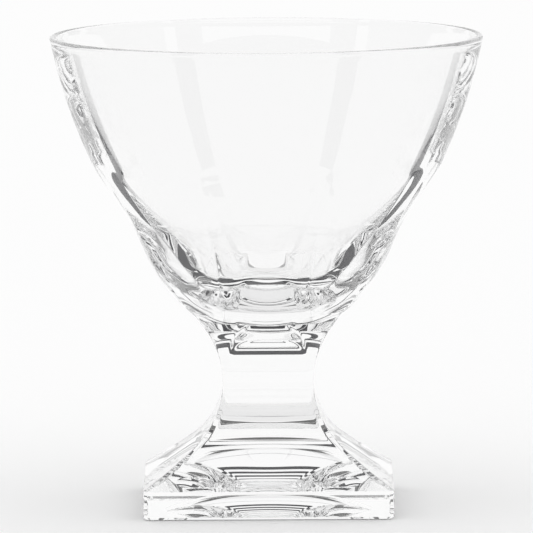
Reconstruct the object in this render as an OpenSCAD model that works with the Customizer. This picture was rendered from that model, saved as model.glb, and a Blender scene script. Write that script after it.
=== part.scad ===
// Crystal cocktail glass: a wide fluted bowl on a square waisted stem and a square sloping foot.
// The three gathers of glass are welded hot, face to face, at two level planes.
// Origin: on the table, under the centre of the foot. Z is up and the front of the foot faces -Y.

/* [Glass] */
// Height of the rim above the table
glass_h = 104.5; // [100:0.5:112]
// Diameter of the bowl across the rim
rim_d = 96; // [92:0.5:100]
// Segments in a full circle
segments = 120; // [60:20:240]

/* [Bowl] */
// Thickness of the wall at the rim
rim_wall = 1.3; // [1:0.1:2]
// How far the polished lip of the rim swells past each face of the wall
lip_swell = 0.04; // [0.03:0.01:0.15]
// Radius of the outside curve of the wall, seen from the side
outer_curve_r = 123.5; // [115:0.5:140]
// Radius of the inside curve of the wall, seen from the side
inner_curve_r = 128; // [115:0.5:140]
// Radius of the round bottom of the hollow
hollow_r = 25.5; // [22:0.5:28]
// Thickness of glass under the hollow, down to the weld with the stem
bowl_floor = 5.2; // [4.5:0.1:7]
// Radius of the bowl's base, where it is welded to the stem
base_r = 16; // [15.5:0.1:17]
// Slope of the bowl's base, in degrees from level
base_slope = 44; // [42:1:48]
// Radius of the curve between the bowl's base and its side
base_curve_r = 20; // [14:1:30]

/* [Flutes] */
// Number of flat flutes cut round the lower bowl
flutes = 8; // [6:1:10]
// Turn of the flutes against the sides of the foot, in degrees
flute_turn = 3.5; // [0:0.5:22.5]
// Depth of a flute below the side of the bowl, half way up the flute
flute_depth = 2.5; // [2.2:0.1:2.8]
// How much steeper than the side of the bowl a flute stands half way up, in degrees
flute_tilt = 6.5; // [5:0.5:8]
// Radius of the wheel that hollows the upper half of a flute
flute_wheel_r = 40; // [34:1:50]
// Radius of the swelling lower half of a flute, seen from the side
flute_belly_r = 42; // [40:1:60]

/* [Stem] */
// Height of the weld between the stem and the bowl
bowl_weld_z = 41.5; // [41:0.25:42]
// Width of the stem across two sides at its waist
waist_w = 20.1; // [18.5:0.1:21.5]
// Height of the waist above the table
waist_z = 28.3; // [27.5:0.1:29]
// Radius of the hollow sides of the stem, seen from the side
waist_curve_r = 18.5; // [18:0.1:19.5]
// Diameter of the stem across its blunt corners at the waist
waist_corner_d = 27.2; // [26.2:0.1:28.2]
// Radius of the curve of the corners below the waist, seen from the side
corner_curve_r = 15; // [14.5:0.1:16]

/* [Foot] */
// Width of the square foot
foot_w = 55.2; // [52:0.2:60]
// Height of the upright edge of the foot
plinth_h = 6.2; // [5:0.1:7]
// Height of the weld between the foot and the stem
foot_weld_z = 18; // [17:0.25:19]
// Radius of the hollow slopes of the foot, seen from the side
slope_curve_r = 120; // [80:5:300]
// Breadth taken off each corner of the foot
corner_break = 0.8; // [0.4:0.1:1.4]
// Bevel round the bottom edge of the foot
bottom_bevel = 0.5; // [0.2:0.1:1]

/* [Hidden] */
$fn = segments;

// Two curves that blend overlap by this share of the smaller one's radius, so their join is clean
overlap_share = 0.0005;

// Rim: its polished lip is a full round, a little thicker than the wall
rim_r = rim_d / 2;
wall_r = rim_r - lip_swell;
lip_r = rim_wall / 2 + lip_swell;
lip_z = glass_h - lip_r;

// Centre that lies at the first reach from one point and at the second reach from another point
function centre(from, to, from_reach, to_reach) =
    let (way = to - from,
         far = norm(way),
         along = (pow(from_reach, 2) - pow(to_reach, 2) + pow(far, 2)) / (2 * far),
         across = sqrt(pow(from_reach, 2) - pow(along, 2)))
    from + (along * way + across * [way[1], -way[0]]) / far;

// Point where two curves blend: on the bigger one, in line with the centre of the smaller one
function blend(big_c, big_r, small_c) = big_c + big_r * (small_c - big_c) / norm(small_c - big_c);

// Shoulder, where the curve of the wall starts above the straight side of the bowl:
// its place in the breadth and the height of the bowl, from the base's edge to the rim
shoulder_shares = [0.67, 0.51];
shoulder = [base_r + shoulder_shares[0] * (wall_r - base_r),
            bowl_weld_z + shoulder_shares[1] * (lip_z - bowl_weld_z)];
outer_c = centre([wall_r, lip_z], shoulder, outer_curve_r, outer_curve_r);
body_lean = atan2(outer_c[1] - shoulder[1], shoulder[0] - outer_c[0]);
side_in = [-cos(body_lean), sin(body_lean)];

// Where the inside curve of the wall runs on as the round bottom of the hollow
hollow_c = [0, bowl_weld_z + bowl_floor + hollow_r];
inner_c = centre([wall_r - rim_wall, lip_z], hollow_c, inner_curve_r,
                 inner_curve_r - hollow_r * (1 - overlap_share));
hollow_join = blend(inner_c, inner_curve_r, hollow_c);

// Where the sloping base curves up into the straight side of the bowl
base_in = [-sin(base_slope), cos(base_slope)];
base_start = [base_r, bowl_weld_z] + base_curve_r * base_in;
base_way = [cos(base_slope), sin(base_slope)];
base_run = (base_curve_r * (1 - overlap_share) - side_in * (base_start - shoulder))
    / (side_in * base_way);
base_c = base_start + base_run * base_way;
base_join_z = base_c[1] - base_curve_r * sin(body_lean);

// Half way up a flute: its share of the height from the weld to the shoulder, and its lean
flute_share = 0.47;
flute_drop = (1 - flute_share) * (shoulder[1] - bowl_weld_z);
flute_middle = shoulder - flute_drop * [tan(body_lean), 1] + flute_depth * side_in;
flute_lean = body_lean - flute_tilt;

// Foot and stem: the hollow curve of a side, and that of a blunt corner
side_waist = [waist_w / 2 + waist_curve_r, waist_z];
side_edge = [foot_w / 2, plinth_h];
corner_waist = [waist_corner_d / 2 + corner_curve_r * (1 - overlap_share), waist_z];
corner_edge = [foot_w / sqrt(2) - corner_break, plinth_h];
// The corners flow out again above the waist, to meet the bowl's base at the weld
corner_flare = base_r - waist_corner_d / 2;
upper_rise = bowl_weld_z - waist_z;
upper_curve_r = (pow(upper_rise, 2) + pow(corner_flare, 2)) / (2 * corner_flare);

// A curve that runs on below as a straight line of the given lean, and all that lies inside it
module curved_side(middle, r, lean) {
    translate(middle) rotate(-lean) {
        circle(r = r);
        translate([0, -glass_h]) square([r, glass_h]);
    }
}

// Outside of the bowl before it is fluted, as half a section
module bowl_blank() {
    intersection() {
        translate([0, bowl_weld_z]) square([rim_r, lip_z - bowl_weld_z]);
        curved_side(outer_c, outer_curve_r, body_lean);
        union() {
            curved_side(base_c, base_curve_r, 90 - base_slope);
            translate([0, base_join_z]) square([rim_r, lip_z - base_join_z]);
        }
    }
}

// Hollow of the bowl, seen from one side
module bowl_hollow() {
    translate(hollow_c) circle(r = hollow_r);
    intersection() {
        translate(inner_c) circle(r = inner_curve_r);
        translate([0, hollow_join[1]]) square([rim_r, glass_h - hollow_join[1]]);
    }
}

// What one flute takes away, seen from the side: a hollow upper half and a swelling lower half
module flute_path() {
    translate(flute_middle) rotate(-flute_lean) {
        translate([flute_wheel_r * (1 - overlap_share), 0]) circle(r = flute_wheel_r);
        difference() {
            translate([-flute_belly_r, -flute_belly_r])
                square([flute_belly_r + flute_wheel_r, flute_belly_r]);
            translate([-flute_belly_r, 0]) circle(r = flute_belly_r);
        }
    }
}

// What is cut away beside the foot's slope and waist, on one side of the axis
module waist_cut(edge, waist, r) {
    slope_c = centre(edge, waist, slope_curve_r, slope_curve_r - r * (1 - overlap_share));
    join_z = blend(slope_c, slope_curve_r, waist)[1];
    translate(waist) circle(r = r);
    intersection() {
        translate(slope_c) circle(r = slope_curve_r);
        square([edge[0] + foot_w, join_z]);
    }
}

// Foot seen from one side, with its bevelled bottom and hollow slopes
module foot_outline(edge, waist, r) {
    half = edge[0];
    difference() {
        polygon([[bottom_bevel - half, 0], [half - bottom_bevel, 0], [half, bottom_bevel],
                 [half, foot_weld_z], [-half, foot_weld_z], [-half, bottom_bevel]]);
        waist_cut(edge, waist, r);
        mirror([1, 0]) waist_cut(edge, waist, r);
    }
}

// Stem seen from one side, between its two welds
module stem_outline() {
    difference() {
        translate([-base_r, foot_weld_z]) square([2 * base_r, bowl_weld_z - foot_weld_z]);
        translate(side_waist) circle(r = waist_curve_r);
        mirror([1, 0]) translate(side_waist) circle(r = waist_curve_r);
    }
}

// Stem before its sides are cut, as half a section through its blunt corners
module stem_blank() {
    difference() {
        translate([0, foot_weld_z]) square([corner_edge[0], bowl_weld_z - foot_weld_z]);
        translate(corner_waist) circle(r = corner_curve_r);
        intersection() {
            translate([waist_corner_d / 2 + upper_curve_r, waist_z]) circle(r = upper_curve_r);
            translate([0, waist_z]) square([corner_edge[0], upper_rise]);
        }
    }
}

// A bar with the outline of its children, cut square by two such bars that cross
module squared() {
    intersection() {
        rotate([90, 0, 0]) linear_extrude(foot_w, center = true) children();
        rotate([90, 0, 90]) linear_extrude(foot_w, center = true) children();
    }
}

module bowl() {
    color([0.86, 0.91, 0.93, 0.5]) difference() {
        rotate_extrude() {
            difference() {
                bowl_blank();
                bowl_hollow();
            }
            translate([rim_r - lip_r, lip_z]) circle(r = lip_r);
        }
        for (i = [0 : flutes - 1])
            rotate([0, 0, i * 360 / flutes - flute_turn])
                rotate([90, 0, 0]) linear_extrude(rim_d, center = true) flute_path();
    }
}

module stem() {
    color([0.84, 0.89, 0.92, 0.5]) intersection() {
        squared() stem_outline();
        rotate_extrude() stem_blank();
    }
}

module foot() {
    color([0.82, 0.88, 0.91, 0.5]) intersection() {
        squared() foot_outline(side_edge, side_waist, waist_curve_r);
        rotate_extrude() intersection() {
            foot_outline(corner_edge, corner_waist, corner_curve_r);
            square([corner_edge[0], foot_weld_z]);
        }
    }
}

bowl();
stem();
foot();
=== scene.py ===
"""Dresses the crystal cocktail glass: clear cut crystal on a white table, in soft studio light.

The three CAD solids are replaced by three fine skins with softened edges. The skins share the
rings of points at their welds, so that the glass is one clear body inside. They follow the CAD
within about a millimetre, except for the shallow hollow under the foot, which only they have.
"""

import math

import bpy
import numpy as np
from mathutils import Matrix, Vector


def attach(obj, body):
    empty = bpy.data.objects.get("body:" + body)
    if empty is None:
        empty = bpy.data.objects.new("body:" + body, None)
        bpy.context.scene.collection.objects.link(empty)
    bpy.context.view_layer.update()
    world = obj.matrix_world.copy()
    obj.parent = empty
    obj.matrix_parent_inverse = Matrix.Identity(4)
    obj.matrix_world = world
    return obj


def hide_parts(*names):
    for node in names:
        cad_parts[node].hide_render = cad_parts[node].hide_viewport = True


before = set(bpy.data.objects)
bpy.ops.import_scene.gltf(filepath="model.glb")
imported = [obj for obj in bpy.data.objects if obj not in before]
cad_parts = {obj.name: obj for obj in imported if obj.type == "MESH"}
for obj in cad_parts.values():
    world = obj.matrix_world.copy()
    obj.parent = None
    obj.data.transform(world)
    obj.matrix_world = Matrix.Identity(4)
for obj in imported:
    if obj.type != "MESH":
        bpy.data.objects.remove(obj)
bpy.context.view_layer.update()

MM = 0.001

# The glass, in millimetres and degrees. What the flutes and the hollow of the bowl have here is
# the fine form in the photograph, a millimetre at most from that of the CAD.
GLASS_H = 104.5
RIM_D = 96
RIM_WALL = 1.3
LIP_SWELL = 0.04
OUTER_CURVE_R = 123.5
INNER_CURVE_R = 136.6
HOLLOW_R = 26.6
BOWL_FLOOR = 5.5
BASE_R = 16
BASE_SLOPE = 44
BASE_CURVE_R = 20
FLUTES = 8
FLUTE_TURN = 1.7
FLUTE_DEPTH = 1.74
FLUTE_TILT = 4.53
FLUTE_WHEEL_R = 45.7
FLUTE_BELLY_R = 42.8
BOWL_WELD_Z = 41.5
WAIST_W = 20.1
WAIST_Z = 28.3
WAIST_CURVE_R = 18.5
WAIST_CORNER_D = 27.2
CORNER_CURVE_R = 15
FOOT_W = 55.2
PLINTH_H = 6.2
FOOT_WELD_Z = 18
SLOPE_CURVE_R = 120
CORNER_BREAK = 0.8
BOTTOM_BEVEL = 0.5
SHOULDER_SHARES = (0.67, 0.51)
FLUTE_SHARE = 0.51

# How round a flute is across: 0 is flat, and 1 is as round as the bowl
FLUTE_ROUNDNESS = 0.6

# The polished hollow under the foot: its radius and height, and how steep its edge is
DOME_R = 23
DOME_H = 3.4
DOME_POWER = 2.7

# How far the polished edges are softened, in millimetres
RIDGE_SOFTNESS = 0.5
TOP_SOFTNESS = 2.0
EDGE_SOFTNESS = 0.3
# Faces that meet at more than this angle, in degrees, keep a sharp edge between them
SHARP_FROM = 12

# Cards that only the glass shows, like those of a photographer. Angles are in degrees and sizes
# in metres. Upright cards stand off by CARD_REACH and are seen from the middle of the glass.
CARD_REACH = 1.0
MIDDLE_Z = 0.06
ALL_ROUND = (0, 360)
DARK = (0.03, 0.03, 0.035, 1)
# Dark rings, by the elevations of their edges
RING_SPANS = ((18, 26), (32, 38), (44, 50), (58, 66))
# Dark cards at the four diagonals: upright ones, and flat ones just above the table
UPRIGHT_HALF = 8
UPRIGHT_TOP = 20
FLAT_HALF = 6
FLAT_RADII = (0.07, 0.22)
FLAT_Z = 0.001
# Flat dark ring, farther off
FAR_RING_RADII = (0.45, 0.8)
# Grey cards to the left and the right
SIDE_HALF = 30
SIDE_TOP = 30
# The table under the foot as the glass shows it, with painted shade and a painted shadow line round
# its edge
PAINTED_SHADE_RADII = (0, 0.027)
PAINTED_SHADOW_LINE_RADII = (0.0275, 0.031)
SHADE_Z = -0.0001
# Cards don't show to rays that went through more surfaces than this. One wall of the bowl has two.
MOST_CROSSINGS = 3.5
# Spacing of the points along the edge of a card or ring, in degrees
STRIP_STEP = 5

# The table, in metres: half its width, and its height
TABLE_HALF = 12.0
TABLE_Z = -0.0002

# The camera, in metres, millimetres and degrees
CAMERA_PLACE = Vector((0, -2.0, 0.273))
CAMERA_AIM = Vector((0, 0, 0.0529))
CAMERA_SHIFT = Vector((-0.00022, 0, 0))
CAMERA_ROLL = 0.3
LENS = 612.3
SENSOR_W = 36
# Light that is caught inside the wall of the glass turns black when its bounces run out
BOUNCES = 64

# Spacing of the columns of points round the glass, in degrees: near an edge, and elsewhere
FINE_STEP = 0.25
COARSE_STEP = 1.0
FINE_REACH = 3.0
# The flutes' tops are softest from this far under the shoulder, in millimetres, and the close
# rows of points end this far above it
NEAR_SHOULDER = 4
# How far the close rows at the foot's upper edge reach above and below it, in millimetres
NEAR_EDGE = 0.15
# Rows of points in each part of the profile, from the bowl down to the foot
FLUTED_ROWS = 130
WALL_ROWS = 30
LIP_ROWS = 16
INSIDE_ROWS = 60
ROUND_ROWS = 40
STEM_ROWS = 70
SLOPE_ROWS = 50
EDGE_ROWS = 4
PLINTH_ROWS = 6
BEVEL_ROWS = 3
# Anything shorter counts as nothing
TINY = 1e-6


def polar(angle):
    """Unit vector at an angle in degrees."""
    return np.array([math.cos(math.radians(angle)), math.sin(math.radians(angle))])


def centre(start, end, start_reach, end_reach):
    """Point at one reach from start and at the other from end, on the right of the way."""
    way = end - start
    far = np.hypot(*way)
    along = (start_reach ** 2 - end_reach ** 2 + far ** 2) / (2 * far)
    across = math.sqrt(start_reach ** 2 - along ** 2)
    return start + (along * way + across * np.array([way[1], -way[0]])) / far


def blend(big_c, big_r, small_c):
    """Point where two curves blend, on the bigger one."""
    return big_c + big_r * (small_c - big_c) / np.hypot(*(small_c - big_c))


def arc_x(middle, radius, z, side):
    """Distance from the axis to a circle at height z, on its outer (1) or inner (-1) side."""
    return middle[0] + side * math.sqrt(max(radius ** 2 - (z - middle[1]) ** 2, 0))


def soft_min(a, b, softness):
    """The smaller of two radii, with the edge between them rounded over."""
    near = np.maximum(softness - np.abs(a - b), 0) / softness
    return np.minimum(a, b) - near ** 2 * softness / 4


class Bowl:
    """Profiles of the bowl, as distances from the axis at a height."""

    def __init__(self):
        rim_r = RIM_D / 2
        wall_r = rim_r - LIP_SWELL
        self.lip_r = RIM_WALL / 2 + LIP_SWELL
        self.lip_z = GLASS_H - self.lip_r
        self.lip_x = rim_r - self.lip_r
        rim = np.array([wall_r, self.lip_z])
        base = np.array([BASE_R, BOWL_WELD_Z])
        self.shoulder = base + np.array(SHOULDER_SHARES) * (rim - base)
        self.outer_c = centre(rim, self.shoulder, OUTER_CURVE_R, OUTER_CURVE_R)
        inward = self.shoulder - self.outer_c
        self.lean = math.degrees(math.atan2(-inward[1], inward[0]))
        self.hollow_c = np.array([0, BOWL_WELD_Z + BOWL_FLOOR + HOLLOW_R])
        self.inner_c = centre(rim - np.array([RIM_WALL, 0]), self.hollow_c,
                              INNER_CURVE_R, INNER_CURVE_R - HOLLOW_R)
        self.hollow_join = blend(self.inner_c, INNER_CURVE_R, self.hollow_c)
        self.place_base(base)
        self.place_flutes()

    def place_base(self, base):
        """The curve between the sloping base and the straight side."""
        side_in = -polar(-self.lean)
        start = base + BASE_CURVE_R * polar(90 + BASE_SLOPE)
        way = polar(BASE_SLOPE)
        run = (BASE_CURVE_R - side_in @ (start - self.shoulder)) / (side_in @ way)
        self.base_c = start + run * way
        self.base_low = self.base_c[1] - BASE_CURVE_R * math.cos(math.radians(BASE_SLOPE))
        self.base_high = self.base_c[1] - BASE_CURVE_R * math.sin(math.radians(self.lean))

    def place_flutes(self):
        """The middle of a flute and the centres of its two curves."""
        drop = (1 - FLUTE_SHARE) * (self.shoulder[1] - BOWL_WELD_Z)
        slant = math.tan(math.radians(self.lean))
        out = polar(-self.lean)
        self.flute_middle = self.shoulder - drop * np.array([slant, 1]) - FLUTE_DEPTH * out
        out = polar(FLUTE_TILT - self.lean)
        self.wheel_c = self.flute_middle + FLUTE_WHEEL_R * out
        self.belly_c = self.flute_middle - FLUTE_BELLY_R * out

    def blank(self, z):
        """Outside before the flutes are cut."""
        if z >= self.shoulder[1]:
            return arc_x(self.outer_c, OUTER_CURVE_R, z, 1)
        if z >= self.base_high:
            return self.shoulder[0] - (self.shoulder[1] - z) * math.tan(math.radians(self.lean))
        if z >= self.base_low:
            return arc_x(self.base_c, BASE_CURVE_R, z, 1)
        return BASE_R + (z - BOWL_WELD_Z) / math.tan(math.radians(BASE_SLOPE))

    def flute(self, z):
        """Middle of a flute, or well outside the bowl above the flute's end."""
        if z < self.flute_middle[1]:
            return arc_x(self.belly_c, FLUTE_BELLY_R, z, 1)
        if z < self.wheel_c[1] + FLUTE_WHEEL_R * math.cos(math.radians(self.lean)):
            return arc_x(self.wheel_c, FLUTE_WHEEL_R, z, -1)
        return RIM_D

    def outside(self, z, angles):
        """Outline at height z: flutes meeting in ridges, inside the turned blank."""
        half = math.pi / FLUTES
        from_middle = (angles + math.radians(FLUTE_TURN) + half) % (2 * half) - half
        flat = self.flute(z)
        ridge = soft_min(flat / np.cos(from_middle),
                         flat / np.cos(2 * half - np.abs(from_middle)), RIDGE_SOFTNESS)
        ridge += FLUTE_ROUNDNESS * (flat - ridge)
        softness = float(np.interp(z, [self.base_high, self.shoulder[1] - NEAR_SHOULDER],
                                   [RIDGE_SOFTNESS, TOP_SOFTNESS]))
        return soft_min(ridge, self.blank(z), softness)

    def inside(self, z):
        """Hollow of the bowl."""
        if z >= self.hollow_join[1]:
            return arc_x(self.inner_c, INNER_CURVE_R, z, 1)
        return arc_x(self.hollow_c, HOLLOW_R, z, 1)


class Stand:
    """Profiles of the stem and the foot: half the width of the square, and the corner's reach."""

    def __init__(self):
        self.side_edge = np.array([FOOT_W / 2, PLINTH_H])
        self.side_waist = np.array([WAIST_W / 2 + WAIST_CURVE_R, WAIST_Z])
        self.corner_edge = np.array([FOOT_W / math.sqrt(2) - CORNER_BREAK, PLINTH_H])
        self.corner_waist = np.array([WAIST_CORNER_D / 2 + CORNER_CURVE_R, WAIST_Z])
        flare = BASE_R - WAIST_CORNER_D / 2
        rise = BOWL_WELD_Z - WAIST_Z
        self.upper_r = (rise ** 2 + flare ** 2) / (2 * flare)

    def profile(self, z, edge, waist, radius):
        """Distance from the axis to a side or a corner at height z."""
        if z <= edge[1]:
            return edge[0] - max(0, BOTTOM_BEVEL - z)
        slope_c = centre(edge, waist, SLOPE_CURVE_R, SLOPE_CURVE_R - radius)
        if z < blend(slope_c, SLOPE_CURVE_R, waist)[1]:
            return arc_x(slope_c, SLOPE_CURVE_R, z, -1)
        return arc_x(waist, radius, z, -1)

    def outside(self, z, angles):
        """Outline at height z: a square with blunt corners."""
        half_w = self.profile(z, self.side_edge, self.side_waist, WAIST_CURVE_R)
        if z > WAIST_Z:
            corner = WAIST_CORNER_D / 2 + self.upper_r - math.sqrt(
                self.upper_r ** 2 - (z - WAIST_Z) ** 2)
        else:
            corner = self.profile(z, self.corner_edge, self.corner_waist, CORNER_CURVE_R)
        along_x = half_w / np.maximum(np.abs(np.cos(angles)), TINY)
        along_y = half_w / np.maximum(np.abs(np.sin(angles)), TINY)
        square = soft_min(along_x, along_y, EDGE_SOFTNESS)
        return soft_min(square, corner, EDGE_SOFTNESS)


def column_angles():
    """Angles of the columns of points: close together at the ridges and at the corners."""
    pitch = 360 / FLUTES
    edges = [pitch * (i + 0.5) - FLUTE_TURN for i in range(FLUTES)]
    edges += [45 + 90 * i for i in range(4)]
    edges.sort()
    angles = []
    for low, high in zip(edges, edges[1:] + [edges[0] + 360]):
        reach = min(FINE_REACH, (high - low) / 2)
        fine = max(round(reach / FINE_STEP), 1)
        angles += [low + reach * i / fine for i in range(fine)]
        middle = high - low - 2 * reach
        coarse = max(round(middle / COARSE_STEP), 1) if middle > TINY else 0
        angles += [low + reach + middle * i / coarse for i in range(coarse)]
        angles += [high - reach + reach * i / fine for i in range(fine)]
    return np.radians(np.array(angles))


def spaced(low, high, count):
    """Heights from low up to high, without high itself."""
    return [low + (high - low) * i / count for i in range(count)]


def skin(name, rows, angles, centre_z=None, flip=False):
    """Mesh of rings of points, each row a (radius or radii, height), with a last point at centre_z."""
    count = len(angles)
    ring = np.stack([np.cos(angles), np.sin(angles)], 1)
    points = [np.column_stack([ring * np.broadcast_to(radius, count)[:, None],
                               np.full(count, z)]) for radius, z in rows]
    faces = []
    for row in range(len(rows) - 1):
        for i in range(count):
            j = (i + 1) % count
            faces.append((row * count + i, row * count + j,
                          (row + 1) * count + j, (row + 1) * count + i))
    if centre_z is not None:
        points.append(np.array([[0, 0, centre_z]]))
        last = (len(rows) - 1) * count
        faces += [(last + i, last + (i + 1) % count, len(rows) * count) for i in range(count)]
    if flip:
        faces = [face[::-1] for face in faces]
    mesh = bpy.data.meshes.new(name)
    mesh.from_pydata((np.concatenate(points) * MM).tolist(), [], faces)
    mesh.polygons.foreach_set("use_smooth", [True] * len(mesh.polygons))
    mesh.set_sharp_from_angle(angle=math.radians(SHARP_FROM))
    piece = bpy.data.objects.new(name, mesh)
    bpy.context.scene.collection.objects.link(piece)
    return piece


def bowl_rows(bowl, stand, angles):
    """Rows of the bowl from the weld up its outside, over the lip and down into the hollow."""
    rows = [(stand.outside(BOWL_WELD_Z, angles), BOWL_WELD_Z)]
    flutes_end = bowl.shoulder[1] + NEAR_SHOULDER
    heights = spaced(BOWL_WELD_Z, flutes_end, FLUTED_ROWS)
    heights += spaced(flutes_end, bowl.lip_z, WALL_ROWS)
    rows += [(bowl.outside(z, angles), z) for z in heights]
    for i in range(LIP_ROWS + 1):
        turn = math.pi * i / LIP_ROWS
        rows.append((bowl.lip_x + bowl.lip_r * math.cos(turn),
                     bowl.lip_z + bowl.lip_r * math.sin(turn)))
    join_z = bowl.hollow_join[1]
    rows += [(bowl.inside(z), z) for z in reversed(spaced(join_z, bowl.lip_z, INSIDE_ROWS))]
    start = math.asin((bowl.hollow_c[1] - join_z) / HOLLOW_R)
    for i in range(1, ROUND_ROWS):
        turn = start + (math.pi / 2 - start) * i / ROUND_ROWS
        rows.append((HOLLOW_R * math.cos(turn), bowl.hollow_c[1] - HOLLOW_R * math.sin(turn)))
    return rows


def stem_rows(stand, angles):
    """Rows of the stem, from the weld with the foot up to the weld with the bowl."""
    heights = spaced(FOOT_WELD_Z, BOWL_WELD_Z, STEM_ROWS) + [BOWL_WELD_Z]
    return [(stand.outside(z, angles), z) for z in heights]


def foot_rows(stand, angles):
    """Rows of the foot, from its weld down the slopes and the edge, and into the hollow below."""
    low_edge, high_edge = PLINTH_H - NEAR_EDGE, PLINTH_H + NEAR_EDGE
    heights = spaced(0, BOTTOM_BEVEL, BEVEL_ROWS)
    heights += spaced(BOTTOM_BEVEL, low_edge, PLINTH_ROWS)
    heights += spaced(low_edge, high_edge, EDGE_ROWS)
    heights += spaced(high_edge, FOOT_WELD_Z, SLOPE_ROWS) + [FOOT_WELD_Z]
    rows = [(stand.outside(z, angles), z) for z in reversed(heights)]
    for i in range(ROUND_ROWS):
        share = math.cos(math.pi / 2 * i / ROUND_ROWS)
        rows.append((DOME_R * share, DOME_H * (1 - share ** DOME_POWER)))
    return rows


def new_material(name):
    """An empty material, with its node tree and the socket that takes its shader."""
    material = bpy.data.materials.new(name)
    material.use_nodes = True
    tree = material.node_tree
    tree.nodes.clear()
    output = tree.nodes.new("ShaderNodeOutputMaterial")
    return material, tree, output.inputs["Surface"]


def add_node(tree, kind, values=None):
    """A new node, with values set on its named sockets."""
    node = tree.nodes.new("ShaderNode" + kind)
    for socket, value in (values or {}).items():
        node.inputs[socket].default_value = value
    return node


def maths(tree, operation, first, second):
    """Output of a sum on one socket and another socket or a number."""
    node = add_node(tree, "Math")
    node.operation = operation
    tree.links.new(first, node.inputs[0])
    if isinstance(second, float):
        node.inputs[1].default_value = second
    else:
        tree.links.new(second, node.inputs[1])
    return node.outputs[0]


def mixed(tree, share, first, second):
    """Shader that is the first where share is 0, and the second where it is 1."""
    mix = add_node(tree, "MixShader")
    tree.links.new(share, mix.inputs["Fac"])
    tree.links.new(first.outputs[0], mix.inputs[1])
    tree.links.new(second.outputs[0], mix.inputs[2])
    return mix


def grey(level):
    """Grey of this level, as a colour with an alpha of 1."""
    return level, level, level, 1


def glow(tree, level):
    """Shader of an even grey that no light or shade changes."""
    return add_node(tree, "Emission", {"Color": grey(level), "Strength": 1})


def crystal_material():
    """Clear polished crystal, very slightly grey."""
    material, tree, surface = new_material("crystal")
    glass = add_node(tree, "BsdfPrincipled", {"Base Color": grey(0.965), "Roughness": 0,
                                              "IOR": 1.54, "Transmission Weight": 1})
    tree.links.new(glass.outputs[0], surface)
    return material


def card_material(name, colour, straight=True):
    """A plain card that shows through one body of glass, but not through both walls of the bowl.

    Without straight, it shows only in the reflections inside the glass.
    """
    material, tree, surface = new_material(name)
    nothing = add_node(tree, "BsdfTransparent")
    card = add_node(tree, "BsdfDiffuse", {"Color": colour})
    path = add_node(tree, "LightPath")
    shown = maths(tree, "LESS_THAN", path.outputs["Transmission Depth"], MOST_CROSSINGS)
    if not straight:
        shown = maths(tree, "MINIMUM", shown, path.outputs["Glossy Depth"])
    tree.links.new(mixed(tree, shown, nothing, card).outputs[0], surface)
    return material


def painted_shade_material(name, level):
    """An even grey glow, used as painted shade."""
    material, tree, surface = new_material(name)
    tree.links.new(glow(tree, level).outputs[0], surface)
    return material


def table_material():
    """White table that keeps the glass's shadow, and looks plain white through the glass."""
    material, tree, surface = new_material("white_table")
    matt = add_node(tree, "BsdfDiffuse", {"Color": grey(0.98)})
    path = add_node(tree, "LightPath")
    either = maths(tree, "MAXIMUM", path.outputs["Is Glossy Ray"],
                   path.outputs["Is Transmission Ray"])
    tree.links.new(mixed(tree, either, matt, glow(tree, 1)).outputs[0], surface)
    return material


def build_glass():
    """The three pieces of the glass, each in place of its CAD solid."""
    bowl, stand = Bowl(), Stand()
    angles = column_angles()
    crystal = crystal_material()
    pieces = {
        "bowl": skin("crystal_bowl", bowl_rows(bowl, stand, angles), angles,
                     BOWL_WELD_Z + BOWL_FLOOR),
        "stem": skin("crystal_stem", stem_rows(stand, angles), angles),
        "foot": skin("crystal_foot", foot_rows(stand, angles), angles, DOME_H, flip=True),
    }
    for node, piece in pieces.items():
        piece.data.materials.append(crystal)
        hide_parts(node)
        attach(piece, "root")


def build_table():
    """A wide white table."""
    half = TABLE_HALF
    corners = [(-half, -half, 0), (half, -half, 0), (half, half, 0), (-half, half, 0)]
    mesh = bpy.data.meshes.new("table_top")
    mesh.from_pydata(corners, [], [(0, 1, 2, 3)])
    mesh.materials.append(table_material())
    table = bpy.data.objects.new("table_top", mesh)
    table.location.z = TABLE_Z
    bpy.context.scene.collection.objects.link(table)


def strip(name, near, far, span, material):
    """A strip between two arcs, each given as (radius, height), that only the glass shows."""
    start, end = span
    steps = max(round((end - start) / STRIP_STEP), 4)
    points = []
    for radius, z in (near, far):
        for i in range(steps + 1):
            angle = math.radians(start + (end - start) * i / steps)
            points.append((radius * math.cos(angle), radius * math.sin(angle), z))
    faces = [(i, i + 1, steps + 2 + i, steps + 1 + i) for i in range(steps)]
    mesh = bpy.data.meshes.new(name)
    mesh.from_pydata(points, [], faces)
    mesh.materials.append(material)
    piece = bpy.data.objects.new(name, mesh)
    piece.visible_camera = False
    piece.visible_diffuse = False
    piece.visible_glossy = False
    piece.visible_shadow = False
    bpy.context.scene.collection.objects.link(piece)


def upright_strip(name, elevations, span, material):
    """A strip between two elevations, seen from the middle of the glass."""
    low, high = [(CARD_REACH, MIDDLE_Z + CARD_REACH * math.tan(math.radians(elevation)))
                 for elevation in elevations]
    strip(name, low, high, span, material)


def flat_strip(name, radii, z, span, material):
    """A level strip between two radii."""
    strip(name, (radii[0], z), (radii[1], z), span, material)


def spread(middle, half):
    """Span of angles, half of it on each side of the middle."""
    return middle - half, middle + half


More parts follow.
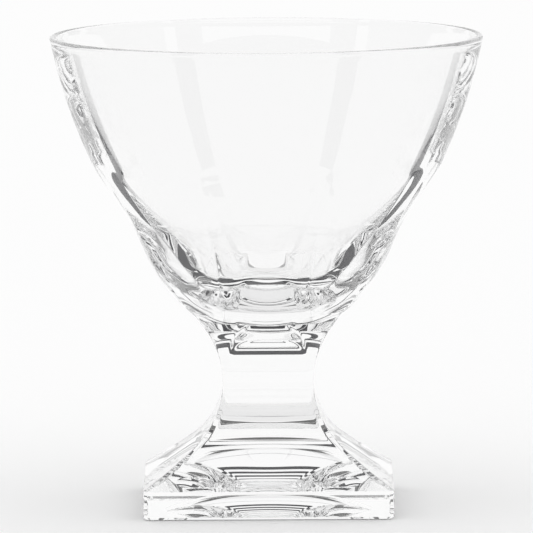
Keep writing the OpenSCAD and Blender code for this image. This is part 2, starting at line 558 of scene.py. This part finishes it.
def build_cards():
    """Cards round the glass, and the painted shade and painted shadow line under its foot."""
    ring = card_material("dark_ring", DARK)
    for i, elevations in enumerate(RING_SPANS):
        upright_strip(f"dark_ring_{i + 1}", elevations, ALL_ROUND, ring)
    dark = card_material("dark_card", DARK, straight=False)
    for i in range(4):
        diagonal = 45 + 90 * i
        upright_strip(f"upright_card_{i + 1}", (0, UPRIGHT_TOP),
                      spread(diagonal, UPRIGHT_HALF), dark)
        flat_strip(f"flat_card_{i + 1}", FLAT_RADII, FLAT_Z, spread(diagonal, FLAT_HALF), dark)
    flat_strip("far_ring", FAR_RING_RADII, FLAT_Z, ALL_ROUND, dark)
    side = card_material("grey_card", grey(0.3), straight=False)
    for i in range(2):
        upright_strip(f"side_card_{i + 1}", (0, SIDE_TOP), spread(180 * i, SIDE_HALF), side)
    # Painted shade under the foot, an even grey glow that only the glass shows
    flat_strip("painted_shade_under_foot", PAINTED_SHADE_RADII, SHADE_Z, ALL_ROUND,
               painted_shade_material("painted_shade_table", 0.85))
    # Painted shadow line round the foot's edge, a dark glow that only the glass shows
    flat_strip("painted_shadow_line_round_foot", PAINTED_SHADOW_LINE_RADII, SHADE_Z, ALL_ROUND,
               painted_shade_material("painted_shadow_line", 0.1))


def build_light():
    """Even white light from all round."""
    world = bpy.data.worlds.new("studio")
    world.use_nodes = True
    background = world.node_tree.nodes["Background"]
    background.inputs["Color"].default_value = grey(1)
    background.inputs["Strength"].default_value = 1
    bpy.context.scene.world = world


def build_camera():
    """A long lens, two metres off and a little above the rim, as the photograph was taken."""
    camera = bpy.data.objects.new("camera", bpy.data.cameras.new("camera"))
    camera.data.lens = LENS
    camera.data.sensor_width = SENSOR_W
    camera.data.clip_start = 0.05
    camera.data.clip_end = 100
    camera.location = CAMERA_PLACE + CAMERA_SHIFT
    turn = (CAMERA_AIM - CAMERA_PLACE).to_track_quat("-Z", "Y").to_matrix().to_4x4()
    turn = turn @ Matrix.Rotation(-math.radians(CAMERA_ROLL), 4, "Z")
    camera.rotation_mode = "QUATERNION"
    camera.rotation_quaternion = turn.to_quaternion()
    bpy.context.scene.collection.objects.link(camera)
    bpy.context.scene.camera = camera


def set_render():
    """Standard colours, and many bounces inside the glass."""
    scene = bpy.context.scene
    scene.view_settings.view_transform = "Standard"
    scene.cycles.use_denoising = True
    scene.cycles.max_bounces = BOUNCES
    scene.cycles.transmission_bounces = BOUNCES
    scene.cycles.glossy_bounces = BOUNCES
    scene.cycles.transparent_max_bounces = 16


build_glass()
build_table()
build_cards()
build_light()
build_camera()
set_render()
